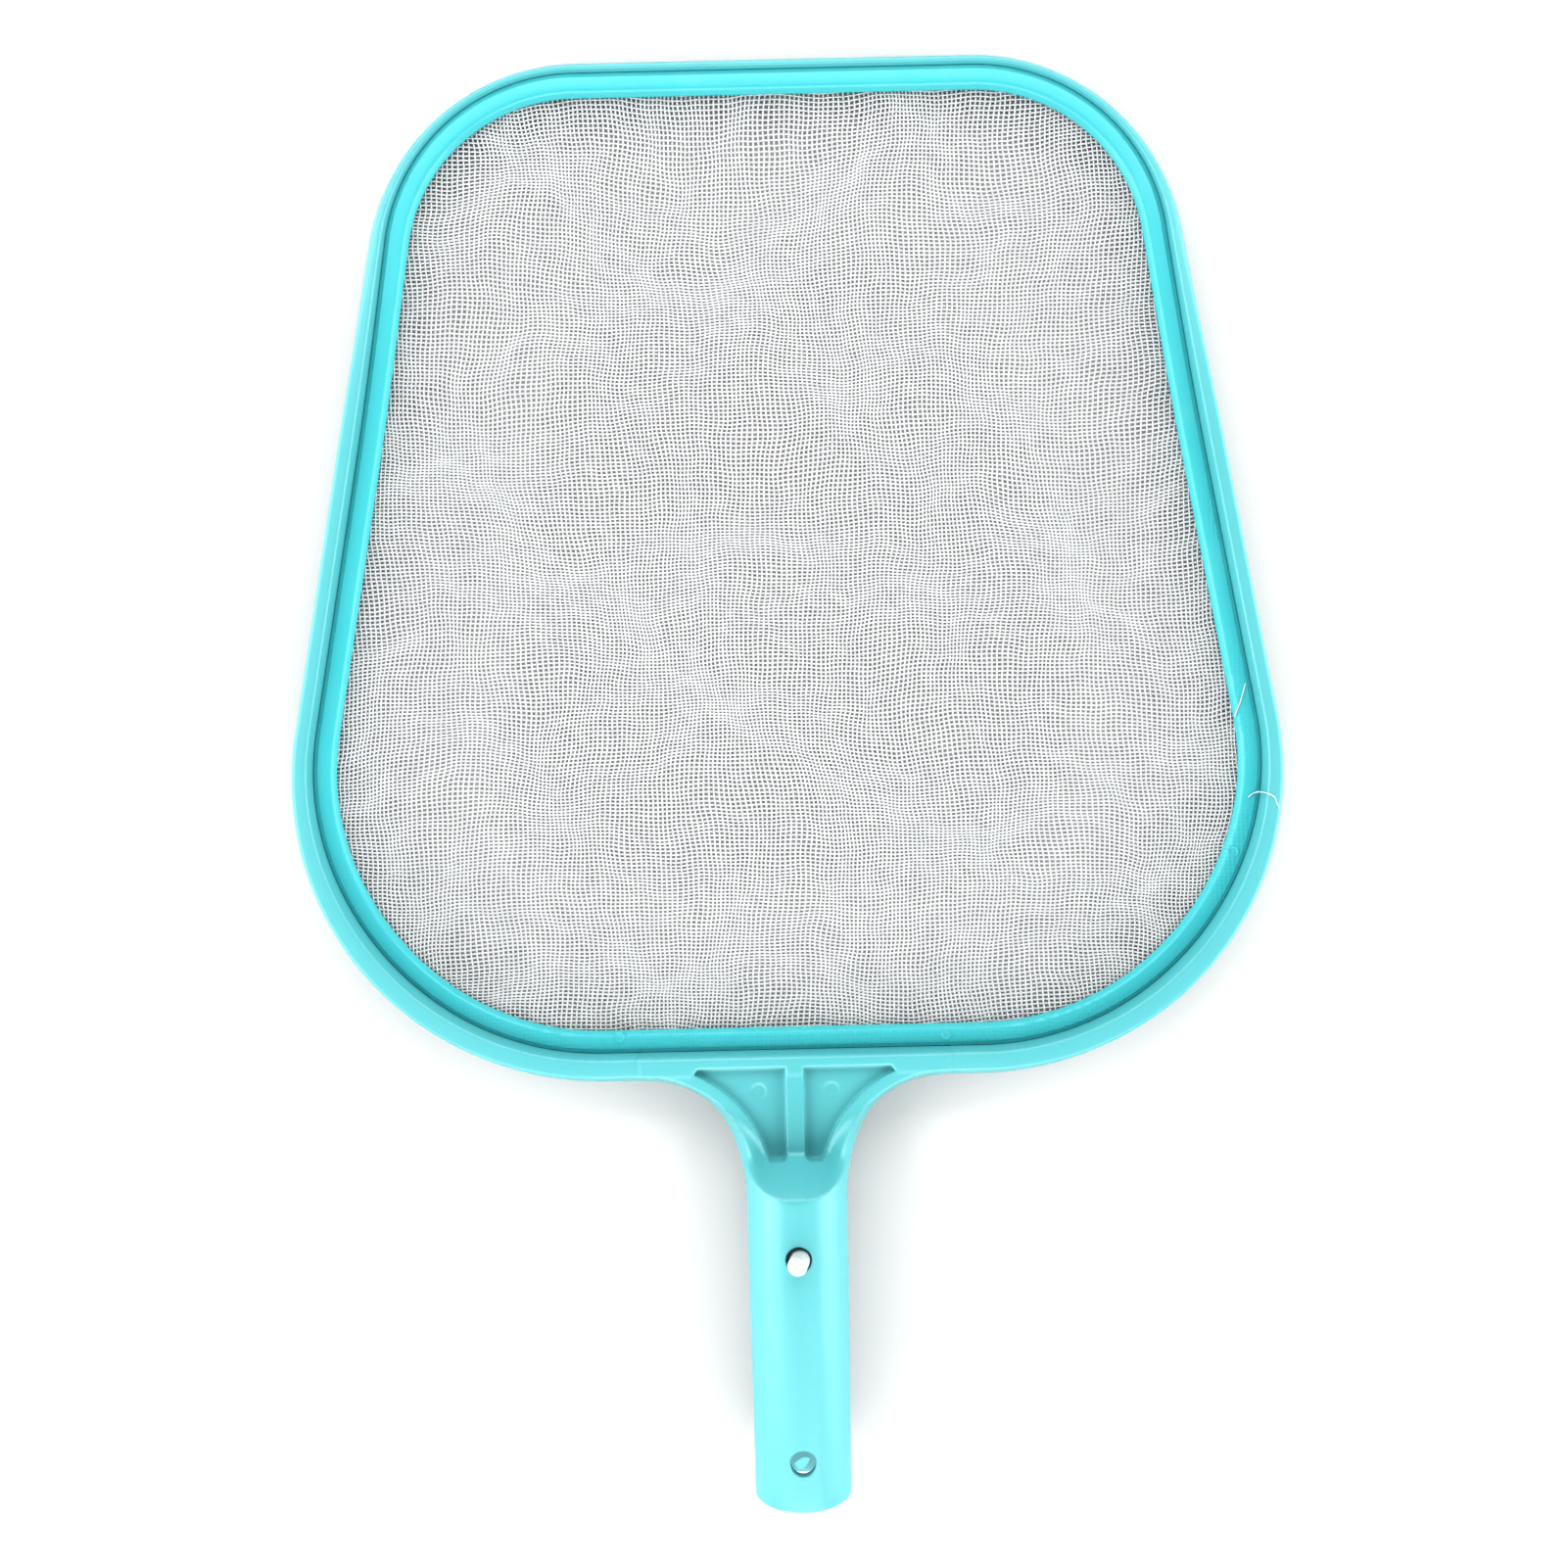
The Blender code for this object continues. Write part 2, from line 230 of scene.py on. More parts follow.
ringLook = {
    "colour": (0.106, 0.515, 0.548, 1),
    "deepColour": (0.088, 0.505, 0.538, 1),
    "imprint": 0.10 * mm,      # how deep the net's threads show through the band
    "pitches": (1.34 * mm, 1.14 * mm),
    "rightFrom": 120 * mm,
    "backFrom": -66 * mm,
}


def ringFinish():
    look = ringLook
    finish = Finish("cyanRing", IOR=1.49, Specular_IOR_Level=0.8)
    clouds = finish.ramp(finish.noise(45 * mm, 2.0), 0.35, 0.65)
    skin = finish.noise(0.8 * mm, 4.0)
    x = finish.part(finish.place(), 0)
    y = finish.part(finish.place(), 1)
    warps = finish.maths("SINE", x * (2 * math.pi / look["pitches"][0]))
    wefts = finish.maths("SINE", y * (2 * math.pi / look["pitches"][1]))
    right = finish.ramp(x, look["rightFrom"], look["rightFrom"] + 8 * mm)
    back = finish.ramp(-y, -look["backFrom"], -look["backFrom"] + 8 * mm)
    where = finish.ramp(finish.noise(26 * mm, 2.0), 0.30, 0.50)
    pressed = (warps + wefts) * 0.25 * where * finish.maths("MAXIMUM", right, back)
    worn = finish.blendColours(where, look["colour"], look["deepColour"])
    return finish.feed(
        Base_Color=finish.blendColours(clouds, worn, look["deepColour"]),
        Roughness=skin * 0.04 + clouds * 0.03 + 0.31,
        Normal=finish.bump(skin, mouldingLook["skin"], Normal=finish.bump(pressed, look["imprint"])),
    )


netLook = {
    "colour": (0.61, 0.615, 0.625, 1),
    "brightColour": (0.69, 0.695, 0.70, 1),
    "mottle": 9 * mm,
}


def netFinish():
    finish = Finish("wovenNylon", Roughness=0.45, IOR=1.53)
    mottle = finish.noise(netLook["mottle"])
    return finish.feed(Base_Color=finish.blendColours(mottle, netLook["colour"], netLook["brightColour"]))


clipLook = {
    "colour": (0.56, 0.57, 0.57, 1),
    "brightColour": (0.60, 0.605, 0.60, 1),
    "grain": 0.7 * mm,
    "grainHeight": 0.015 * mm,
}


def clipFinish():
    finish = Finish("whiteAcetal", IOR=1.48)
    grain = finish.noise(clipLook["grain"])
    return finish.feed(
        Base_Color=finish.blendColours(grain, clipLook["colour"], clipLook["brightColour"]),
        Roughness=grain * 0.12 + 0.34,
        Normal=finish.bump(grain, clipLook["grainHeight"]),
    )


def tableFinish():
    return Finish("paleTable", Roughness=0.8, IOR=1.2, Base_Color=(0.30, 0.30, 0.30, 1)).material


cyanMoulding = mouldedFinish()
cyanRing = ringFinish()
wovenNylon = netFinish()
whiteAcetal = clipFinish()
paleTable = tableFinish()
print("materials made")


# the outline in plan, which every other piece follows
plan = {
    "lipFlat": 58.5 * mm,          # half length of the straight lip
    "lipY": 213.2 * mm,            # from the widest line
    "lipCornerRadius": 64 * mm,
    "sideSplay": math.radians(9),
    "backCentreX": 55.8 * mm,
    "backHalfWidth": 91.9 * mm,
    "backDepth": 91 * mm,
    "widestY": 0.0,
}
plan["widestY"] = cadBox[1].y - plan["lipY"]  # the widest line in the frame's own coordinates


def halfOutline():
    corner = np.array((plan["lipFlat"], plan["lipY"] - plan["lipCornerRadius"]))
    turn = np.linspace(math.pi / 2, plan["sideSplay"], 160)
    arc = corner + plan["lipCornerRadius"] * np.stack((np.cos(turn), np.sin(turn)), 1)
    slope = math.tan(plan["sideSplay"]) * plan["backDepth"] / plan["backHalfWidth"]
    turn = np.linspace(-math.atan(slope), math.pi / 2, 240)
    back = np.stack((plan["backCentreX"] + plan["backHalfWidth"] * np.cos(turn),
                     -plan["backDepth"] * np.sin(turn)), 1)
    return np.vstack(([(0, plan["lipY"])], arc, back))


def fullOutline():
    # clockwise seen from above, from the middle of the lip, with the last point back at the first
    right = halfOutline()
    left = right[::-1] * (-1, 1)
    return np.vstack((right, [(0, -plan["backDepth"])], left))


def outlineStations(count, spread=1.0, first=0.0):
    # evenly spaced points of the outline and their inward directions
    line = fullOutline()
    length = np.concatenate(([0], np.cumsum(np.linalg.norm(np.diff(line, axis=0), axis=1))))
    closed = spread >= 1.0
    along = (first + np.linspace(0, spread, count, endpoint=not closed)) * length[-1]

    def at(distance):
        d = distance % length[-1]
        return np.stack((np.interp(d, length, line[:, 0]), np.interp(d, length, line[:, 1])), 1)

    heading = at(along + 0.6 * mm) - at(along - 0.6 * mm)
    heading /= np.linalg.norm(heading, axis=1)[:, None]
    return at(along), np.stack((heading[:, 1], -heading[:, 0]), 1)


def alongRim(y, lip, side, back):
    front = smoothStep(95 * mm, plan["lipY"] - 8 * mm, y)
    rear = smoothStep(20 * mm, -70 * mm, y)
    return mix(mix(side, lip, front), back, rear)


def bandWidth(y):
    return alongRim(y, 7.0 * mm, 8.8 * mm, 10.4 * mm)


def bandTop(y):
    return alongRim(y, 10.6 * mm, 13.2 * mm, 15.4 * mm)


def roundedSection(corners, radii, steps):
    # a closed section with each corner rounded by an arc-like curve
    corners = np.array(corners, float)
    ring = []
    for i, corner in enumerate(corners):
        before = corners[i - 1] - corner
        after = corners[(i + 1) % len(corners)] - corner
        reach = min(radii[i], 0.45 * np.linalg.norm(before), 0.45 * np.linalg.norm(after))
        a = corner + before / np.linalg.norm(before) * reach
        b = corner + after / np.linalg.norm(after) * reach
        for t in np.linspace(0, 1, steps[i]):
            ring.append((1 - t) ** 2 * a + 2 * t * (1 - t) * corner + t * t * b)
    return np.array(ring)


def sweepAlong(stations, inward, section):
    # rows of points: section(y) gives inward distance and height at each station
    rows = []
    for p, n in zip(stations, inward):
        ring = section(p[1])
        row = np.empty((len(ring), 3))
        row[:, :2] = p + n * ring[:, :1]
        row[:, 2] = ring[:, 1]
        row[:, 1] += plan["widestY"]
        rows.append(row)
    return np.array(rows)


rim = {
    "wall": 2.3 * mm,
    "ledgeTop": 6.0 * mm,
    "ledgeThickness": 2.0 * mm,
    "ledgeWidth": 4.8 * mm,
    "slopeLip": 4.2 * mm,
    "slopeBack": 3.2 * mm,
    "stations": 400,
    "neckGap": 46 * mm,            # left open on each side of the middle, inside the neck
}


def rimCorners(y):
    band = bandWidth(y)
    top = bandTop(y)
    slope = alongRim(y, rim["slopeLip"], rim["slopeBack"], rim["slopeBack"])
    roof = top - rim["wall"]
    channel = rim["wall"] + slope * 0.7 * roof / top
    foot = band - 0.2 * mm
    ledge = rim["ledgeTop"]
    return [
        (0, 0),
        (0.3 * mm, 3 * mm),
        (slope + 0.2 * mm, top),
        (band - 1.5 * mm, top),
        (foot, ledge),
        (band + rim["ledgeWidth"], ledge),
        (band + rim["ledgeWidth"], ledge - rim["ledgeThickness"]),
        (foot, ledge - rim["ledgeThickness"] - 0.4 * mm),
        (foot, 0),
        (band - rim["wall"], 0),
        (band - rim["wall"] - 0.2 * mm, roof),
        (channel, roof),
        (rim["wall"], 0),
    ]


rimRadii = np.array((1.2, 3.0, 1.0, 0.9, 0.5, 0.4, 0.4, 0.5, 0.4, 0.4, 0.8, 0.8, 0.4)) * mm
rimSteps = (4, 4, 5, 5, 3, 3, 2, 2, 2, 2, 3, 3, 2)


def rimSection(y):
    return roundedSection(rimCorners(y), rimRadii, rimSteps)


def joinMeshes(name, parts):
    verts = []
    faces = []
    offset = 0
    for v, f in parts:
        verts.append(np.asarray(v, float).reshape(-1, 3))
        faces += [tuple(int(i) + offset for i in face) for face in f]
        offset += len(verts[-1])
    return meshFrom(name, np.vstack(verts), faces)


def lathe(profile, around):
    angles = np.arange(around) * 2 * math.pi / around
    rows = []
    for r, z in profile:
        rows.append(np.stack((r * np.cos(angles), r * np.sin(angles), np.full(around, z)), 1))
    rows = np.array(rows)
    return rows.reshape(-1, 3), cappedFaces(rows)


def makeRimPart():
    # open where the neck joins it; both ends stop inside the neck
    gap = rim["neckGap"]
    line = fullOutline()
    total = np.linalg.norm(np.diff(line, axis=0), axis=1).sum()
    first = 0.5 + gap / total
    p, n = outlineStations(rim["stations"], 1 - 2 * gap / total, first)
    rows = sweepAlong(p, n, rimSection)
    return rows.reshape(-1, 3), cappedFaces(rows)


tube = {
    "endY": -205.8 * mm,
    "radiusNeck": 14.4 * mm,
    "radiusEnd": 13.8 * mm,
    "wall": 2.6 * mm,
    "bottom": 4.9 * mm,
    "neckFillet": 30 * mm,
    "boreEnd": -127.6 * mm,
    "upperHole": -135.4 * mm,
    "lowerHole": -192.2 * mm,
    "around": 112,
}
tube["axis"] = tube["bottom"] + tube["radiusNeck"]
tube["neckStart"] = -plan["backDepth"] - tube["neckFillet"]


def tubeRadius(y):
    return mix(tube["radiusNeck"], tube["radiusEnd"], smoothStep(tube["neckStart"], tube["endY"], y))


def polygonDistance(points, u, v):
    # signed distance from the points (u, v) to a closed polygon, negative inside
    corners = np.array(points, float)
    nearest = np.full(u.shape, np.inf)
    inside = np.zeros(u.shape, bool)
    for a, b in zip(corners, np.roll(corners, -1, axis=0)):
        edge = b - a
        t = np.clip(((u - a[0]) * edge[0] + (v - a[1]) * edge[1]) / (edge @ edge), 0, 1)
        nearest = np.minimum(nearest, np.hypot(u - a[0] - t * edge[0], v - a[1] - t * edge[1]))
        if a[1] != b[1]:
            crosses = (a[1] > v) != (b[1] > v)
            inside ^= crosses & (u < a[0] + (v - a[1]) * edge[0] / edge[1])
    return np.where(inside, -nearest, nearest)


def joinSoftly(a, b, radius):
    # union of two distance fields with a fillet
    h = np.clip(0.5 + 0.5 * (b - a) / radius, 0, 1)
    return mix(b, a, h) - radius * h * (1 - h)


def cutSoftly(a, b, radius):
    return -joinSoftly(-a, b, radius)


neck = {
    "cell": 0.46 * mm,
    "halfWidth": 50 * mm,
    "pocketRib": 5.2 * mm,
    "pocketBack": -85.5 * mm,
    "pocketTail": -112 * mm,
    "pocketLand": 7.2 * mm,
    "pocketFloor": 13.0 * mm,
    "shoulderStart": -109.5 * mm,
    "shoulderEnd": -120 * mm,
    "armStart": -95 * mm,          # the two arms rise earlier, in a band along the edge
    "armWidth": 7 * mm,
    "armRise": 0.6,
    "shoulderSoftness": 5 * mm,
    "padY": -117.6 * mm,           # a small raised gate mark on the shoulder
    "padHalf": (2.6 * mm, 1.2 * mm),
    "padRise": 0.35 * mm,
    "ejectorX": 10.6 * mm,
    "ejectorY": -92.5 * mm,
    "ejectorRadius": 2.2 * mm,
}


def neckEdgeDistance(x, y):
    # how far inside the plan's edge: the rim's straight back, the neck's fillets and the tube's sides
    across = np.abs(x)
    centreX = tube["radiusNeck"] + tube["neckFillet"]
    fillet = np.hypot(across - centreX, y - tube["neckStart"]) - tube["neckFillet"]
    straight = y + plan["backDepth"]
    side = tubeRadius(y) - across
    return np.where(across >= centreX, straight, np.where(y < tube["neckStart"], side, fillet))


def neckField(x, y, z):
    # its section goes from the rim's sloped edge to the tube's round one
    back = -plan["backDepth"]
    inside = neckEdgeDistance(x, y)
    radius = tubeRadius(y)
    middle = smoothStep(neck["shoulderStart"], neck["shoulderEnd"], y)
    arms = smoothStep(neck["armStart"], neck["shoulderEnd"], y)
    edge = smoothStep(neck["armWidth"], 0.3 * neck["armWidth"], inside)
    rise = mix(middle, arms, edge * neck["armRise"])
    roundness = smoothStep(back - 4 * mm, tube["neckStart"] + 1 * mm, y)
    plateau = mix(bandTop(back) - 0.02 * mm, tube["axis"] + radius, rise)
    slope = np.clip((inside - 0.3 * mm) / (rim["slopeBack"] + 0.2 * mm), -1, 1)
    flatTop = mix(3 * mm, plateau, slope)
    near = np.clip(inside, 0, radius)
    bulge = np.sqrt(2 * radius * near - near ** 2)
    roundTop = tube["axis"] + bulge - np.maximum(-inside, 0) * 4
    roundTop = joinSoftly(roundTop, plateau, neck["shoulderSoftness"] * (1 - rise) + 0.01 * mm)
    top = mix(flatTop, roundTop, roundness)
    padX, padY = neck["padHalf"]
    pad = smoothStep(padX + 0.4 * mm, padX, np.abs(x))
    pad = pad * smoothStep(padY + 0.4 * mm, padY, np.abs(y - neck["padY"]))
    top = top + pad * neck["padRise"]
    bottom = mix(0.05 * mm, tube["axis"] - bulge, smoothStep(back - 3 * mm, tube["neckStart"] - 1 * mm, y))
    return np.maximum(np.maximum(z - top, bottom - z), -inside)


def pocketPlan():
    # three-sided pocket beside the middle rib, for x > 0
    centre = np.array((tube["radiusNeck"] + tube["neckFillet"], tube["neckStart"]))
    radius = tube["neckFillet"] + neck["pocketLand"]
    first = math.asin((neck["pocketBack"] - 1.5 * mm - centre[1]) / radius)
    last = math.asin((neck["pocketTail"] + 2.2 * mm - centre[1]) / radius)
    rib = neck["pocketRib"] / 2
    points = [(rib, neck["pocketBack"]),
              (centre[0] - radius * math.cos(first) - 1.2 * mm, neck["pocketBack"])]
    for a in np.linspace(first, last, 12):
        points.append(centre + radius * np.array((-math.cos(a), math.sin(a))))
    tail = points[-1]
    points.append((tail[0] - 1.2 * mm, neck["pocketTail"]))
    points.append((rib + 0.9 * mm, neck["pocketTail"]))
    points.append((rib, neck["pocketTail"] + 1.2 * mm))
    return points


def trueDistance(field, cell):
    # scales a field by its own slope, so that it reads as a distance near its surface
    slopes = np.gradient(field, cell)
    return field / np.maximum(np.sqrt(sum(s * s for s in slopes)), 0.2)


def surfaceNet(field, origin, cell):
    # closed quad mesh of the field's zero surface
    inside = field < 0
    shape = np.array(field.shape) - 1
    total = np.zeros((*shape, 3))
    count = np.zeros(tuple(shape))
    for axis in range(3):
        low = [slice(None)] * 3
        high = [slice(None)] * 3
        low[axis] = slice(0, -1)
        high[axis] = slice(1, None)
        a, b = field[tuple(low)], field[tuple(high)]
        crossing = inside[tuple(low)] != inside[tuple(high)]
        t = np.where(crossing, a / np.where(a == b, 1, a - b), 0)
        others = [i for i in range(3) if i != axis]
        for du in (0, 1):
            for dv in (0, 1):
                pick = [slice(None)] * 3
                pick[others[0]] = slice(du, du + shape[others[0]])
                pick[others[1]] = slice(dv, dv + shape[others[1]])
                hit = crossing[tuple(pick)]
                total[..., axis] += np.where(hit, t[tuple(pick)], 0)
                total[..., others[0]] += hit * du
                total[..., others[1]] += hit * dv
                count += hit
    used = count > 0
    number = np.full(tuple(shape), -1)
    number[used] = np.arange(used.sum())
    base = np.argwhere(used)
    verts = (base + total[used] / count[used][:, None]) * cell + origin
    faces = []
    for axis in range(3):
        u, v = [(1, 2), (2, 0), (0, 1)][axis]
        low = [slice(1, -1)] * 3
        low[axis] = slice(0, -1)
        high = [slice(1, -1)] * 3
        high[axis] = slice(1, None)
        a, b = inside[tuple(low)], inside[tuple(high)]
        for flag, order in ((a & ~b, (0, 1, 2, 3)), (~a & b, (3, 2, 1, 0))):
            cells = np.argwhere(flag)
            cells[:, u] += 1
            cells[:, v] += 1
            corners = []
            for du, dv in ((-1, -1), (0, -1), (0, 0), (-1, 0)):
                c = cells.copy()
                c[:, u] += du
                c[:, v] += dv
                corners.append(number[c[:, 0], c[:, 1], c[:, 2]])
            faces.append(np.stack([corners[i] for i in order], 1))
    return verts, np.vstack(faces)


def makeNeckPart():
    cell = neck["cell"]
    half = neck["halfWidth"]
    xs = np.arange(-half - 2 * cell, half + 3 * cell, cell)
    end = tube["neckStart"] - 1 * mm
    ys = np.arange(end - 5 * mm, -plan["backDepth"] + bandWidth(-1.0) + 7 * mm, cell)
    zs = np.arange(-2 * cell, tube["axis"] + tube["radiusNeck"] + 3 * cell, cell)
    x, y, z = np.meshgrid(xs, ys, zs, indexing="ij")
    back = -plan["backDepth"]
    section = [(back + inward, height) for inward, height in rimSection(back)]
    v, w = np.meshgrid(ys, zs, indexing="ij")
    rimField = np.broadcast_to(polygonDistance(section, v, w), x.shape)
    handle = trueDistance(neckField(x, y, z), cell)
    handle = np.maximum(handle, y - (back + bandWidth(back) - 2.4 * mm))
    handle = np.maximum(handle, np.abs(x) - (tube["radiusNeck"] + tube["neckFillet"]))
    body = joinSoftly(rimField, handle, 0.8 * mm)
    u, v = np.meshgrid(xs, ys, indexing="ij")
    outline = polygonDistance(pocketPlan(), np.abs(u), v)[:, :, None]
    pocket = -joinSoftly(-outline, z - neck["pocketFloor"], 0.35 * mm)
    body = cutSoftly(body, pocket, 0.25 * mm)
    mark = np.hypot(np.abs(x) - neck["ejectorX"], y - neck["ejectorY"]) - neck["ejectorRadius"]
    dish = np.maximum(mark, neck["pocketFloor"] - 0.25 * mm - z)
    dish = np.maximum(dish, z - neck["pocketFloor"] - 1 * mm)
    body = cutSoftly(body, dish, 0.15 * mm)
    skin = mix(-0.03 * mm, 0.05 * mm, smoothStep(44 * mm, 46.5 * mm, np.abs(x)))
    skin = np.maximum(skin, mix(-0.03 * mm, 0.05 * mm, smoothStep(end - 1 * mm, end - 3 * mm, y)))
    body = body + skin
    ends = np.maximum(np.abs(x) - half, end - 3.5 * mm - y)
    body = np.maximum(body, ends)
    origin = np.array((xs[0], ys[0] + plan["widestY"], zs[0]))
    return surfaceNet(body, origin, cell)


def makeTubePart():
    axis = tube["axis"]
    back = tube["neckStart"] - 0.8 * mm
    profile = []
    for y in np.linspace(back, tube["endY"] + 0.6 * mm, 26):
        profile.append((y, tubeRadius(y)))
    for a in np.linspace(0.2, 1, 4) * math.pi / 2:
        edge = tubeRadius(tube["endY"]) - 0.6 * mm * (1 - math.cos(a))
        profile.append((tube["endY"] + 0.6 * mm * (1 - math.sin(a)), edge))
    bore = tubeRadius(tube["endY"]) - tube["wall"]
    for a in np.linspace(0, 1, 4) * math.pi / 2:
        profile.append((tube["endY"] + 0.4 * mm * (1 - math.cos(a)), bore + 0.4 * mm * (1 - math.sin(a))))
    for y in np.linspace(tube["endY"] + 2 * mm, tube["boreEnd"] - 0.8 * mm, 24):
        profile.append((y, tubeRadius(y) - tube["wall"]))
    profile.append((tube["boreEnd"], tubeRadius(tube["boreEnd"]) - tube["wall"] - 0.8 * mm))
    angles = np.arange(tube["around"]) * 2 * math.pi / tube["around"]
    rows = []
    for y, r in profile:
        rows.append(np.stack((r * np.sin(angles), np.full_like(angles, y + plan["widestY"]),
                              axis + r * np.cos(angles)), 1))
    rows = np.array(rows)
    return rows.reshape(-1, 3), cappedFaces(rows)


def holeCutter(y, up):
    # a flared round cutter whose rings follow the tube's curved surface
    around = 56
    angles = np.arange(around) * 2 * math.pi / around
    outer = tubeRadius(y)
    bore = outer - tube["wall"]
    rows = []
    rings = ((bore, 3.5, -3.0), (bore, 3.6, -1.0), (outer, 3.6, -0.30), (outer, 4.3, 0.40))
    for surface, radius, lift in rings:
        x = radius * mm * np.sin(angles)
        yy = y + radius * mm * np.cos(angles)
        z = np.sqrt(surface ** 2 - x ** 2) + lift * mm
        rows.append(np.stack((x, yy + plan["widestY"], tube["axis"] + up * z), 1))
    rows = np.array(rows)
    return rows.reshape(-1, 3), cappedFaces(rows)


def drilledTube():
    mesh = joinMeshes("tubeBlank", [makeTubePart()])
    faceOutwards(mesh)
    blank = addObject("tubeBlank", mesh, cyanMoulding)
    cutters = joinMeshes("holeCutters", [holeCutter(y, up) for y in (tube["upperHole"], tube["lowerHole"])
                                         for up in (1, -1)])
    faceOutwards(cutters)
    cutter = addObject("holeCutters", cutters, cyanMoulding)
    drill = blank.modifiers.new("drill", "BOOLEAN")
    drill.operation = "DIFFERENCE"
    drill.solver = "EXACT"
    drill.object = cutter
    result = bpy.data.meshes.new_from_object(blank.evaluated_get(bpy.context.evaluated_depsgraph_get()))
    bpy.data.objects.remove(blank)
    bpy.data.objects.remove(cutter)
    verts = np.empty(len(result.vertices) * 3)
    result.vertices.foreach_get("co", verts)
    return verts.reshape(-1, 3), [tuple(p.vertices) for p in result.polygons]


def makeMoulding():
    mesh = joinMeshes("frameMoulding", [makeRimPart(), makeNeckPart(), drilledTube()])
    faceOutwards(mesh)
    obj = addObject("frameMoulding", mesh, cyanMoulding)
    mesh.set_sharp_from_angle(angle=math.radians(38))
    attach(obj, "head")
    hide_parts("frame_moulding")
    print("moulding made,", len(mesh.polygons), "faces")


makeMoulding()


# the ring that clamps the net
ring = {
    "gap": 0.6 * mm,
    "width": 5.3 * mm,
    "bottom": 7.2 * mm,
    "top": 9.8 * mm,
    "chamfer": 1.2 * mm,
    "flangeGap": 0.12 * mm,        # a low lip on the outside nearly fills the slot
    "flangeDrop": 0.7 * mm,
    "stations": 420,
    "marks": ((44.7, -77.7), (-51.0, -76.4), (130.3, -26.0)),   # millimetres, faint ejector marks
    "markRadius": 1.7 * mm,
}


def innerWall(y, height):
    # inward distance of the rim's leaning inner wall
    share = (height - rim["ledgeTop"]) / (bandTop(y) - rim["ledgeTop"])
    return bandWidth(y) - 0.2 * mm - 1.3 * mm * share


def ringSection(y):
    step = ring["top"] - ring["flangeDrop"]
    outer = bandWidth(y) + ring["gap"]
    inner = outer + ring["width"]
    corners = [
        (innerWall(y, ring["bottom"]) + ring["flangeGap"], ring["bottom"]),
        (innerWall(y, step) + ring["flangeGap"], step),
        (outer, step + 0.15 * mm),
        (outer, ring["top"]),
        (inner - ring["chamfer"], ring["top"]),
        (inner, ring["bottom"] + 0.7 * mm),
        (inner, ring["bottom"]),
    ]
    radii = np.array((0.3, 0.2, 0.3, 0.7, 0.9, 0.5, 0.3)) * mm
    return roundedSection(corners, radii, (2, 2, 3, 5, 5, 4, 2))


def makeRing():
    p, n = outlineStations(ring["stations"])
    rows = sweepAlong(p, n, ringSection)
    parts = [(rows.reshape(-1, 3), list(gridFaces(len(rows), rows.shape[1], True, True)))]
    for x, y in ring["marks"]:
        radius = ring["markRadius"]
        top = ring["top"]
        profile = [
            (radius, top - 0.5 * mm),
            (radius, top + 0.05 * mm),
            (radius - 0.1 * mm, top + 0.1 * mm),
            (radius - 0.35 * mm, top + 0.1 * mm),
            (radius - 0.45 * mm, top + 0.03 * mm),
        ]
        verts, faces = lathe(profile, 32)
        parts.append((verts + (x * mm, y * mm + plan["widestY"], 0), faces))
    mesh = joinMeshes("netRing", parts)
    faceOutwards(mesh)
    obj = addObject("netRing", mesh, cyanRing)
    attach(obj, "head")
    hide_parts("net_ring")
    print("ring made,", len(mesh.polygons), "faces")


makeRing()


# the net is a slack sheet from a cloth simulation, then a weave laid over it
net = {
    "gridStep": 2.4 * mm,
    "tuck": 0.8 * mm,          # the sheet's edge, from the rim's inner wall
    "clamp": 5.6 * mm,         # held by the ring up to here
    "height": 6.6 * mm,
    "slack": 0.003,
    "patchSlack": 0.012,           # the loose patches that lie on the table
    "patches": (                   # x, y and radius in millimetres
        (-25, 178, 13), (-4, 184, 12), (16, 185, 13), (42, 179, 14), (66, 171, 13), (84, 163, 12),
        (-84, 179, 14), (-85, 38, 16), (-82, 14, 15), (-80, -18, 14), (-50, -38, 15), (-40, -52, 13),
        (-52, -70, 12), (-18, 0, 13), (-10, -14, 10), (58, 60, 18), (70, 96, 16), (20, 110, 20),
        (120.6, -26, 5), (117, -35, 5), (113, -44, 5), (108.5, -52.5, 5),
    ),
    "strays": (                    # loose thread ends on the band and rim, millimetres
        ((134.9, -10.2, 10.0), (136.3, -9.0, 10.05), (137.8, -8.6, 10.6), (138.9, -8.8, 12.6),
         (140.0, -9.3, 13.95), (141.4, -10.2, 13.9), (141.9, -11.6, 13.85), (142.2, -12.7, 13.85),
         (142.8, -13.6, 13.85)),
        ((134.9, 23.3, 9.98), (133.9, 20.0, 10.0), (132.8, 16.7, 9.97), (131.6, 13.7, 9.5)),
    ),
    "strayRadius": 0.2 * mm,
    "warpPitch": 1.34 * mm,
    "weftPitch": 1.14 * mm,
    "threadWidth": 0.58 * mm,
    "threadThickness": 0.34 * mm,
    "rise": 0.17 * mm,
    "floorGap": 0.40 * mm,
    "waveSize": 70 * mm,
    "waveReach": 16 * mm,
    "rippleSize": 21 * mm,
    "rippleReach": 4.4 * mm,
    "strips": 5,
    "seed": 3,
}


def beyondBand(points):
    # how far plan points lie inside the rim's band, negative under it
    p, n = outlineStations(2400)
    tree = KDTree(len(p))
    for i, q in enumerate(p):
        tree.insert((q[0], q[1], 0), i)
    tree.balance()
    result = np.empty(len(points))
    for k, q in enumerate(points):
        _, i, _ = tree.find((q[0], q[1], 0))
        inward = (q - p[i]) @ n[i]
        result[k] = inward - bandWidth(p[i][1])
    return result


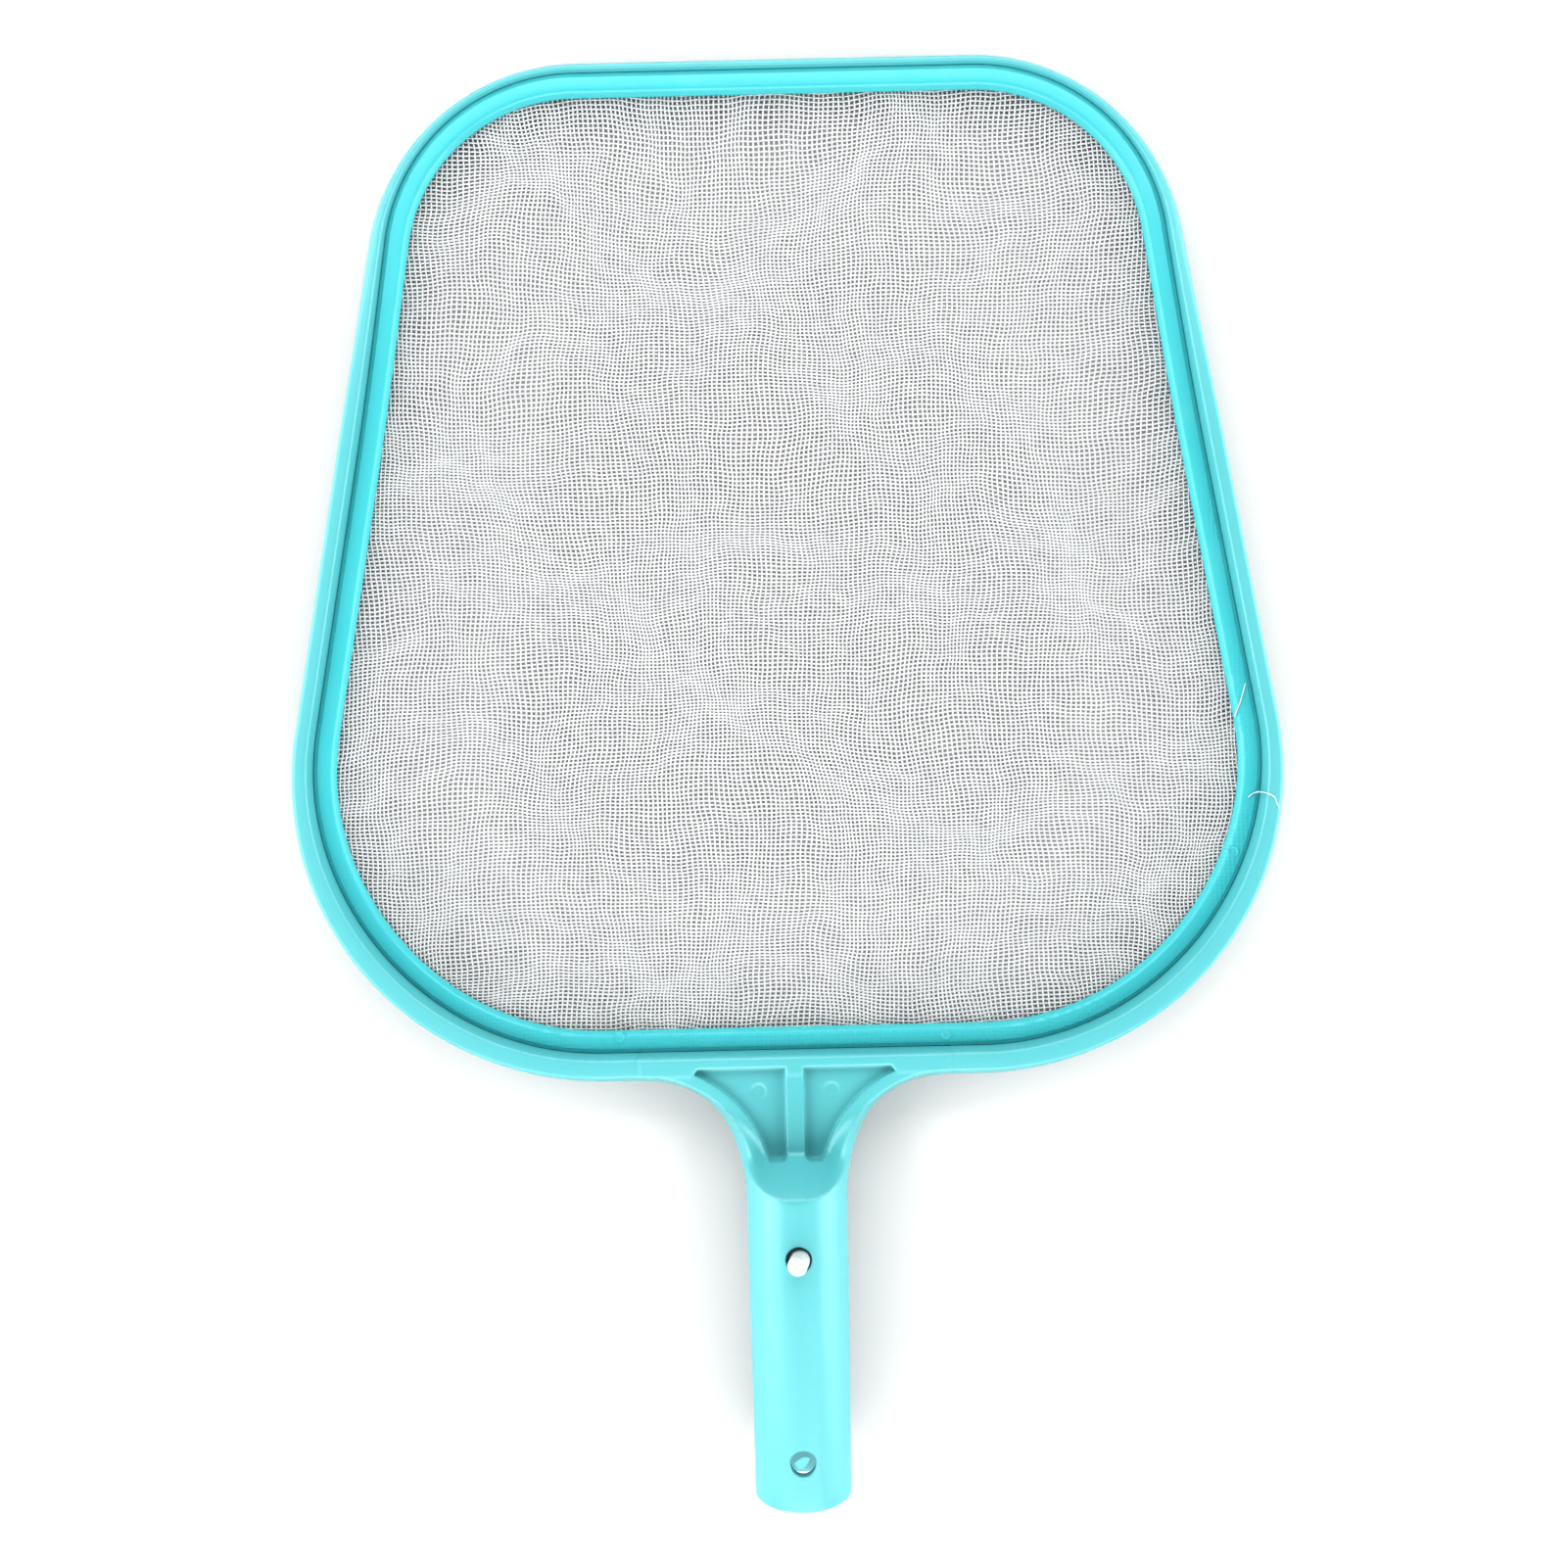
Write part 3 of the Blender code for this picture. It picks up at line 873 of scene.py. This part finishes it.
def makeSheet():
    step = net["gridStep"]
    halfWide = 136 * mm
    xs = np.arange(-halfWide, halfWide + step / 2, step)
    ys = np.arange(-84 * mm, 208 * mm + step / 2, step)
    x, y = np.meshgrid(xs, ys, indexing="ij")
    flat = np.stack((x.ravel(), y.ravel()), 1)
    beyond = beyondBand(flat)
    keep = beyond >= net["tuck"]
    quads = gridFaces(len(xs), len(ys), False, False)
    quads = quads[keep[quads].all(1)]
    used = np.unique(quads)
    number = np.full(len(flat), -1)
    number[used] = np.arange(len(used))
    rng = np.random.default_rng(net["seed"])
    flat, beyond = flat[used], beyond[used]
    verts = np.column_stack((flat[:, 0], flat[:, 1] + plan["widestY"], np.full(len(flat), net["height"])))
    free = smoothStep(net["clamp"], net["clamp"] + 8 * mm, beyond)
    verts[:, 2] -= free * (0.4 * mm + 0.5 * mm * rng.random(len(flat)))
    mesh = meshFrom("netSheet", verts, number[quads][:, ::-1])
    low, size = verts[:, :2].min(0), np.ptp(verts[:, :2], axis=0)
    uv = mesh.uv_layers.new(name="netPlan")
    loops = np.empty(len(mesh.loops), int)
    mesh.loops.foreach_get("vertex_index", loops)
    uv.data.foreach_set("uv", ((verts[loops, :2] - low) / size).astype(np.float32).ravel())
    obj = addObject("netSheet", mesh, wovenNylon)
    loose = obj.vertex_groups.new(name="loose")
    weight = np.zeros(len(flat))
    for x, y, radius in net["patches"]:
        away = np.hypot(flat[:, 0] / mm - x, flat[:, 1] / mm - y) / radius
        weight = np.maximum(weight, np.exp(-away ** 2))
    for i in np.flatnonzero(weight > 0.02):
        loose.add([int(i)], float(weight[i]), "REPLACE")
    held = obj.vertex_groups.new(name="held")
    held.add([int(i) for i in np.flatnonzero(beyond <= net["clamp"])], 1.0, "REPLACE")
    return obj, low, size


clothSettings = {
    "quality": 6,
    "mass": 0.002,
    "air_damping": 2.0,
    "tension_stiffness": 40,
    "compression_stiffness": 40,
    "shear_stiffness": 4,
    "bending_stiffness": 0.02,
    "vertex_group_mass": "held",
    "vertex_group_shrink": "loose",
    "shrink_min": -net["slack"],
    "shrink_max": -net["patchSlack"],
}


def dropSheet(obj):
    # lets the slack sheet sink onto the table
    bpy.ops.mesh.primitive_plane_add(size=0.6)
    table = bpy.context.object
    table.name = "simTable"
    table.location.z = -1.45 * mm
    table.modifiers.new("collide", "COLLISION")
    table.collision.thickness_outer = 0.001
    table.collision.cloth_friction = 20
    cloth = obj.modifiers.new("cloth", "CLOTH")
    for name, value in clothSettings.items():
        setattr(cloth.settings, name, value)
    cloth.collision_settings.distance_min = 0.001
    cloth.collision_settings.collision_quality = 2
    cloth.point_cache.frame_start = 1
    cloth.point_cache.frame_end = 40
    for frameNumber in range(1, 31):
        scene.frame_set(frameNumber)
    done = obj.evaluated_get(bpy.context.evaluated_depsgraph_get())
    co = np.empty(len(obj.data.vertices) * 3)
    done.data.vertices.foreach_get("co", co)
    obj.modifiers.remove(cloth)
    obj.data.vertices.foreach_set("co", co)
    obj.data.update()
    bpy.data.objects.remove(table)
    scene.frame_set(1)


class NetTree(Graph):
    # a geometry tree with named inputs
    def __init__(self, name):
        super().__init__(bpy.data.node_groups.new(name, "GeometryNodeTree"))
        self.entry = self.tree.nodes.new("NodeGroupInput")
        self.inputs = {}

    def addInput(self, name, kind, value=None):
        socket = self.tree.interface.new_socket(name, in_out="INPUT", socket_type="NodeSocket" + kind)
        if value is not None:
            socket.default_value = value
        self.inputs[name] = socket.identifier

    def named(self, name):
        return Value(self, self.entry.outputs[name])

    def finishWith(self, geometry):
        self.tree.interface.new_socket("Geometry", in_out="OUTPUT", socket_type="NodeSocketGeometry")
        exitNode = self.tree.nodes.new("NodeGroupOutput")
        self.plug(exitNode.inputs[0], geometry)


def weaveTree():
    g = NetTree("plainWeave")
    for name, kind in (("Sheet", "Geometry"), ("Plan Low", "Vector"), ("Plan Size", "Vector"),
                       ("Strip Start", "Float"), ("Strip Wefts", "Int"), ("Warp Points", "Int"),
                       ("Strip First", "Int"), ("Warps", "Int"), ("Nylon", "Material")):
        g.addInput(name, kind)
    for name, key in (("Warp Pitch", "warpPitch"), ("Weft Pitch", "weftPitch"),
                      ("Thread Width", "threadWidth"), ("Thread Thickness", "threadThickness"),
                      ("Rise", "rise"), ("Floor Gap", "floorGap"),
                      ("Wave Size", "waveSize"), ("Wave Reach", "waveReach"),
                      ("Ripple Size", "rippleSize"), ("Ripple Reach", "rippleReach")):
        g.addInput(name, "Float", net[key])
    sheet = g.named("Sheet")
    warpPitch = g.named("Warp Pitch")
    weftPitch = g.named("Weft Pitch")
    low = g.named("Plan Low")
    lowX = g.part(low, 0)

    def vector(x, y, z=0.0):
        return g.add("ShaderNodeCombineXYZ", None, {0: x, 1: y, 2: z})

    def lines(startCount, startStep, lineCount, lineStep, start):
        posts = g.add("GeometryNodeMeshLine", None,
                      {"Count": startCount, "Start Location": start, "Offset": startStep})
        thread = g.add("GeometryNodeMeshLine", None, {"Count": lineCount, "Offset": lineStep})
        spread = g.add("GeometryNodeInstanceOnPoints", None, {"Points": posts, "Instance": thread})
        return g.add("GeometryNodeRealizeInstances", None, {0: spread})

    def wander(where, name, detail):
        # soft sideways drift of the threads, from noise
        drift = g.add("ShaderNodeTexNoise", None,
                      {"Vector": where, "Scale": 1.0 / g.named(name + " Size"), "Detail": detail}, 1)
        drift = g.vectorMaths("SUBTRACT", drift, (0.5, 0.5, 0.5))
        reach = vector(g.named(name + " Reach"), g.named(name + " Reach"))
        return g.vectorMaths("MULTIPLY", drift, reach)

    def threads(rows, sign):
        where = g.add("GeometryNodeInputPosition")
        i = g.maths("ROUND", (g.part(where, 0) - lowX) / warpPitch)
        j = g.maths("ROUND", (g.part(where, 1) - g.named("Strip Start")) / weftPitch)
        parity = g.maths("MODULO", i + j + g.named("Strip First"), 2.0)
        over = (1.0 - parity * 2.0) * g.named("Rise") * sign
        moved = g.vectorMaths("ADD", where, wander(where, "Wave", 1.0))
        moved = g.vectorMaths("ADD", moved, wander(where, "Ripple", 2.0))
        uv = g.vectorMaths("DIVIDE", g.vectorMaths("SUBTRACT", moved, low), g.named("Plan Size"))
        planMap = g.add("GeometryNodeInputNamedAttribute", {"data_type": "FLOAT_VECTOR"},
                        {"Name": "netPlan"})
        found = g.add("GeometryNodeSampleUVSurface", {"data_type": "FLOAT_VECTOR"},
                      {"Mesh": sheet, "Value": g.add("GeometryNodeInputPosition"), "UV Map": planMap,
                       "Sample UV": uv})
        valid = Value(g, found.socket.node.outputs["Is Valid"])
        height = g.maths("MAXIMUM", g.part(found, 2) + over, g.named("Floor Gap") + over)
        spot = vector(g.part(found, 0), g.part(found, 1), height)
        stored = g.add("GeometryNodeStoreNamedAttribute", {"data_type": "BOOLEAN", "domain": "POINT"},
                       {"Geometry": rows, "Name": "inside", "Value": valid})
        placed = g.add("GeometryNodeSetPosition", None, {"Geometry": stored, "Position": spot})
        inside = g.add("GeometryNodeInputNamedAttribute", {"data_type": "BOOLEAN"}, {"Name": "inside"})
        outside = g.add("FunctionNodeBooleanMath", {"operation": "NOT"}, {0: inside})
        kept = g.add("GeometryNodeDeleteGeometry", {"domain": "POINT"},
                     {"Geometry": placed, "Selection": outside})
        return g.add("GeometryNodeMeshToCurve", None, {"Mesh": kept})

    start = vector(lowX, g.named("Strip Start"))
    across = vector(warpPitch, 0.0)
    along = vector(0.0, weftPitch)
    warpRows = lines(g.named("Warps"), across, g.named("Warp Points"), along, start)
    weftRows = lines(g.named("Strip Wefts"), along, g.named("Warps"), across, start)
    joined = g.add("GeometryNodeJoinGeometry")
    for rows, sign in ((warpRows, 1.0), (weftRows, -1.0)):
        g.plug(joined.socket.node.inputs[0], threads(rows, sign))
    curves = g.add("GeometryNodeSetCurveNormal", {"mode": "Z_UP"}, {"Curve": joined})
    loop = g.add("GeometryNodeCurvePrimitiveCircle", {"mode": "RADIUS"}, {"Resolution": 4, "Radius": 0.5})
    thread = vector(g.named("Thread Width"), g.named("Thread Thickness"), 1.0)
    profile = g.add("GeometryNodeTransform", None, {"Geometry": loop, "Scale": thread})
    tubes = g.add("GeometryNodeCurveToMesh", None,
                  {"Curve": curves, "Profile Curve": profile, "Fill Caps": True})
    real = g.add("GeometryNodeRealizeInstances", None, {0: tubes})
    shaded = g.add("GeometryNodeSetShadeSmooth", None, {0: real})
    g.finishWith(g.add("GeometryNodeSetMaterial", None, {"Geometry": shaded, "Material": g.named("Nylon")}))
    return g


def strayThreads():
    parts = []
    for path in net["strays"]:
        points = np.array(path) * mm + (0, plan["widestY"], 0)
        rows = []
        steps = np.linspace(0, len(points) - 1, 8 * len(points))
        line = np.stack([np.interp(steps, range(len(points)), points[:, k]) for k in range(3)], 1)
        for _ in range(5):
            line[1:-1] = (line[:-2] + 2 * line[1:-1] + line[2:]) / 4
        heading = np.gradient(line, axis=0)
        heading /= np.linalg.norm(heading, axis=1)[:, None]
        side = np.cross(heading, (0, 0, 1))
        side /= np.linalg.norm(side, axis=1)[:, None]
        up = np.cross(side, heading)
        for a in np.arange(6) * math.pi / 3:
            rows.append(line + net["strayRadius"] * (math.cos(a) * side + math.sin(a) * up))
        rows = np.array(rows).transpose(1, 0, 2)
        parts.append((rows.reshape(-1, 3), cappedFaces(rows)))
    mesh = joinMeshes("strayThreads", parts)
    faceOutwards(mesh)
    return mesh


def addStrays(mesh):
    strays = strayThreads()
    bm = bmesh.new()
    bm.from_mesh(mesh)
    bm.from_mesh(strays)
    for face in bm.faces:
        face.smooth = True
    bm.to_mesh(mesh)
    bm.free()
    bpy.data.meshes.remove(strays)


def makeNet():
    obj, low, size = makeSheet()
    sheetY = np.array([p.center.y for p in obj.data.polygons])
    dropSheet(obj)
    print("sheet settled, lowest", min(v.co.z for v in obj.data.vertices))
    g = weaveTree()
    warps = int(size[0] / net["warpPitch"])
    wefts = int(size[1] / net["weftPitch"])
    each = math.ceil(wefts / net["strips"])
    for k in range(net["strips"]):
        first = k * each
        last = min(first + each, wefts)
        mod = obj.modifiers.new("weave", "NODES")
        mod.node_group = g.tree
        values = {
            "Plan Low": (*low, 0),
            "Plan Size": (*size, 1),
            "Strip First": first,
            "Strip Start": low[1] + first * net["weftPitch"],
            "Strip Wefts": last - first,
            "Warp Points": last - first + 1,
            "Warps": warps,
            "Nylon": wovenNylon,
        }
        for name, value in values.items():
            mod[g.inputs[name]] = value
        obj.update_tag()
        mesh = bpy.data.meshes.new_from_object(obj.evaluated_get(bpy.context.evaluated_depsgraph_get()))
        obj.modifiers.remove(mod)
        mesh.name = f"netStrip{k + 1}"
        if k == 1:
            addStrays(mesh)
        piece = bpy.data.objects.new(mesh.name, mesh)
        scene.collection.objects.link(piece)
        co = np.empty(len(mesh.vertices) * 3)
        mesh.vertices.foreach_get("co", co)
        co = co.reshape(-1, 3)
        span = np.ptp(co, axis=0)
        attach(piece, "head")
        long = (last - first) * net["weftPitch"]
        start = low[1] + first * net["weftPitch"]
        area = ((sheetY >= start) & (sheetY < start + long)).sum() * net["gridStep"] ** 2
        flat = (float(size[0]), float(min(long, size[1] - first * net["weftPitch"])))
        print(mesh.name, len(mesh.polygons), "faces", [round(float(s) * 1000, 1) for s in span],
              "z", round(co[:, 2].min() * 1000, 2), round(co[:, 2].max() * 1000, 2))
        if k == 0:
            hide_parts("net")
    bpy.data.objects.remove(obj)


makeNet()


# the sprung clip in the tube
clip = {
    "buttonRadius": 2.8 * mm,
    "proud": 4.8 * mm,
    "dome": 1.9 * mm,
    "legLength": 45 * mm,
    "legTip": 5.5 * mm,
    "legWidth": 7.6 * mm,
    "legThickness": 1.6 * mm,
    "legClearance": 1.5 * mm,
    "bendRadius": 3.6 * mm,
    "lean": math.radians(5),
    "sideLean": math.radians(11),  # the button sits a little askew in its hole
    "leanPivot": 5.5 * mm,         # height on the button that stays over the leg's middle
    "play": 0.3 * mm,
}


def buttonBase():
    bore = tubeRadius(tube["upperHole"]) - tube["wall"]
    return bore - clip["legClearance"] - clip["legThickness"] / 2


def legAngle():
    return math.asin((buttonBase() - clip["bendRadius"]) / clip["legLength"])


def hingeY():
    return tube["upperHole"] - clip["legLength"] * math.cos(legAngle()) + plan["widestY"]


def makeLeg(up):
    half = clip["legThickness"] / 2
    radius = clip["legWidth"] / 2
    end = clip["legLength"] + clip["legTip"]
    outline = [(-radius, clip["play"]), (radius, clip["play"])]
    for a in np.linspace(0, math.pi, 17):
        outline.append((radius * math.cos(a), end - radius + radius * math.sin(a)))
    layers = ((-half, 0.25), (-half + 0.25 * mm, 0.0), (half - 0.25 * mm, 0.0), (half, 0.25))
    rows = []
    middle = np.array((0, end / 2))
    for z, inset in layers:
        flat = np.array(outline)
        away = flat - middle
        flat = flat - np.sign(away) * np.minimum(np.abs(away), inset * mm)
        rows.append(np.column_stack((flat, np.full(len(flat), z))))
    rows = np.array(rows)
    tip = tubeRadius(tube["upperHole"]) + clip["proud"] - buttonBase()
    profile = [(clip["buttonRadius"], half - 0.7 * mm), (clip["buttonRadius"], tip - clip["dome"])]
    for a in np.linspace(0.1, 0.97, 9) * math.pi / 2:
        height = tip - clip["dome"] + clip["dome"] * math.sin(a)
        profile.append((clip["buttonRadius"] * math.cos(a), height))
    verts, buttonFaces = lathe(profile, 40)
    pivot = Matrix.Translation((0, 0, clip["leanPivot"]))
    sideways = pivot @ Matrix.Rotation(-up * clip["sideLean"], 4, "Y") @ pivot.inverted()
    lean = (Matrix.Translation((0, clip["legLength"], 0)) @ sideways
            @ Matrix.Rotation(clip["lean"] - legAngle(), 4, "X"))
    verts = np.array([lean @ Vector(v) for v in verts])
    name = "clipLegTop" if up > 0 else "clipLegBottom"
    mesh = joinMeshes(name, [(rows.reshape(-1, 3), cappedFaces(rows)), (verts, buttonFaces)])
    faceOutwards(mesh)
    turn = Matrix.Rotation(legAngle(), 4, "X")
    if up < 0:
        turn = Matrix.Rotation(math.pi, 4, "Y") @ turn
    mesh.transform(Matrix.Translation((0, hingeY(), tube["axis"] + up * clip["bendRadius"])) @ turn)
    obj = addObject(name, mesh, whiteAcetal)
    mesh.set_sharp_from_angle(angle=math.radians(40))
    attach(obj, "leg_top" if up > 0 else "leg_bottom")
    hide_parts("clip_leg_top" if up > 0 else "clip_leg_bottom")


def makeBend():
    half = clip["legThickness"] / 2
    wide = clip["legWidth"] / 2
    corners = np.array(((-wide, -half), (wide, -half), (wide, half), (-wide, half)))
    section = roundedSection(corners, np.full(4, 0.3 * mm), (3,) * 4)
    rows = []
    for a in np.linspace(math.pi / 2, 3 * math.pi / 2, 25):
        out = np.array((0, math.cos(a), math.sin(a)))
        row = []
        for x, r in section:
            row.append(np.array((x, hingeY(), tube["axis"])) + out * (clip["bendRadius"] + r))
        rows.append(row)
    rows = np.array(rows)
    mesh = meshFrom("clipBend", rows.reshape(-1, 3), cappedFaces(rows))
    faceOutwards(mesh)
    obj = addObject("clipBend", mesh, whiteAcetal)
    mesh.set_sharp_from_angle(angle=math.radians(40))
    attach(obj, "head")
    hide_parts("clip_bend")


makeLeg(1)
makeLeg(-1)
makeBend()
print("clip made")


studio = {
    "tableHalf": 1.6,
    "cameraHeight": 439.2 * mm,
    "cameraX": -1.1 * mm,
    "cameraY": -3.2 * mm,
    "cameraTurn": math.radians(-1.3),
    "lens": 33.6,
    "skySide": 0.42,
    "skyTop": 0.16,
    "boxes": (                     # azimuth, angle from the vertical, width, length, glow
        (90, 72, 0.85, 1.3, 3.7),
        (270, 64, 0.85, 1.3, 3.5),
        (0, 52, 0.70, 1.3, 3.4),
        (180, 52, 0.70, 1.3, 2.9),
    ),
    "tableBoxes": (                # these light only the table, to keep it white
        (90, 60, 0.85, 1.3, 5.0),
        (270, 60, 0.85, 1.3, 5.0),
        (0, 60, 0.85, 1.3, 5.0),
        (180, 60, 0.85, 1.3, 5.0),
    ),
    "gamma": 0.7,
    "boxDistance": 1.0,
}


def makeTable():
    half = studio["tableHalf"]
    corners = [(-half, -half, 0), (half, -half, 0), (half, half, 0), (-half, half, 0)]
    table = addObject("table", meshFrom("table", corners, [(0, 1, 2, 3)]), paleTable, smooth=False)
    return table


def makeSoftbox(azimuth, tilt, width, length, glow):
    light = bpy.data.lights.new("softbox", "AREA")
    light.shape = "RECTANGLE"
    light.size = width
    light.size_y = length
    light.energy = glow * math.pi * width * length
    obj = bpy.data.objects.new("softbox", light)
    scene.collection.objects.link(obj)
    turn = Matrix.Rotation(math.radians(azimuth - 90), 4, "Z") @ Matrix.Rotation(math.radians(tilt), 4, "Y")
    obj.matrix_world = turn @ Matrix.Translation((0, 0, studio["boxDistance"]))
    return obj


def makeSky():
    world = bpy.data.worlds.new("studioSky")
    world.use_nodes = True
    sky = Graph(world.node_tree)
    background = sky.tree.nodes["Background"]
    sky.plug(background.inputs["Color"], (1, 1, 1, 1))
    height = sky.part(sky.add("ShaderNodeTexCoord", output="Generated"), 2)
    dimming = sky.add("ShaderNodeMapRange", {"interpolation_type": "SMOOTHSTEP"},
                      {"Value": height, "From Min": 0.55, "From Max": 0.90,
                       "To Min": studio["skySide"], "To Max": studio["skyTop"]})
    sky.plug(background.inputs["Strength"], dimming)
    scene.world = world


def makeCamera():
    data = bpy.data.cameras.new("camera")
    data.lens = studio["lens"]
    data.sensor_width = 36
    obj = bpy.data.objects.new("camera", data)
    scene.collection.objects.link(obj)
    obj.location = (studio["cameraX"], plan["widestY"] + studio["cameraY"], studio["cameraHeight"])
    obj.rotation_euler = (0, 0, studio["cameraTurn"])
    scene.camera = obj


table = makeTable()
for box in studio["boxes"]:
    makeSoftbox(*box)
tableOnly = bpy.data.collections.new("tableOnly")
tableOnly.objects.link(table)
for box in studio["tableBoxes"]:
    makeSoftbox(*box).light_linking.receiver_collection = tableOnly
makeSky()
makeCamera()
scene.view_settings.view_transform = "Standard"
scene.view_settings.gamma = studio["gamma"]
print("studio made")
